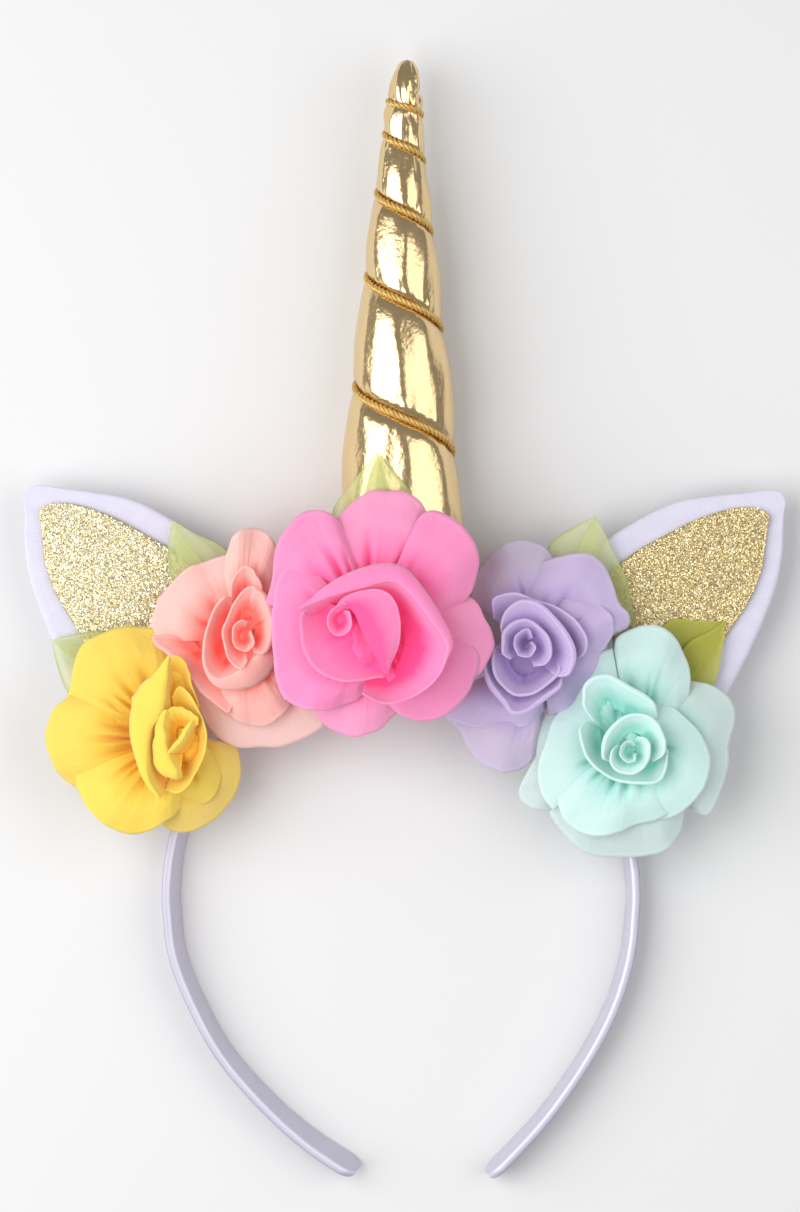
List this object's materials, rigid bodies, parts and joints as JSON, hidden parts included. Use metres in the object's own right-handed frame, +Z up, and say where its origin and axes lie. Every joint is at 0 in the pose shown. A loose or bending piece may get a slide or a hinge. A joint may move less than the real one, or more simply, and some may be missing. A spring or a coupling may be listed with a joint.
{
  "type": "unicorn horn headband",
  "caption": "Satin hair band with a stuffed gold cord-wound horn, glitter-lined felt ears, rolled chiffon roses and chiffon leaves, lying on its back.",
  "frame": {"origin": "on the floor plane under the middle of the whole headband as it lies on its back", "axes": "+X across the band towards the right ear, +Y from the arm tips towards the horn's tip, +Z up, out of the front of the flowers"},
  "size_m": [0.198, 0.2909, 0.049],
  "materials": {
    "satin": "lilac-white satin ribbon wrapped over the band",
    "foil": "metallic gold coated fabric, stuffed",
    "cord": "twisted metallic gold cord",
    "felt": "lilac-white felt",
    "glitter": "pale gold glitter cloth",
    "leaf": "translucent green chiffon",
    "yellow": "yellow chiffon",
    "salmon": "salmon chiffon",
    "pink": "pink chiffon",
    "lavender": "lavender chiffon",
    "mint": "mint chiffon"
  },
  "bodies": {
    "root": {"hair_band": "satin", "horn": "foil", "horn_cord": "cord", "ear_felt_left": "felt", "ear_glitter_left": "glitter", "ear_felt_right": "felt", "ear_glitter_right": "glitter", "rose_yellow_skirt": "yellow", "rose_yellow_whorl": "yellow", "rose_yellow_bud": "yellow", "leaf_yellow": "leaf", "rose_salmon_skirt": "salmon", "rose_salmon_whorl": "salmon", "rose_salmon_bud": "salmon", "leaf_salmon": "leaf", "rose_pink_skirt": "pink", "rose_pink_whorl": "pink", "rose_pink_bud": "pink", "leaf_pink": "leaf", "rose_lavender_skirt": "lavender", "rose_lavender_whorl": "lavender", "rose_lavender_bud": "lavender", "leaf_lavender": "leaf", "rose_mint_skirt": "mint", "rose_mint_whorl": "mint", "rose_mint_bud": "mint", "leaf_mint": "leaf"}
  },
  "joints": []
}
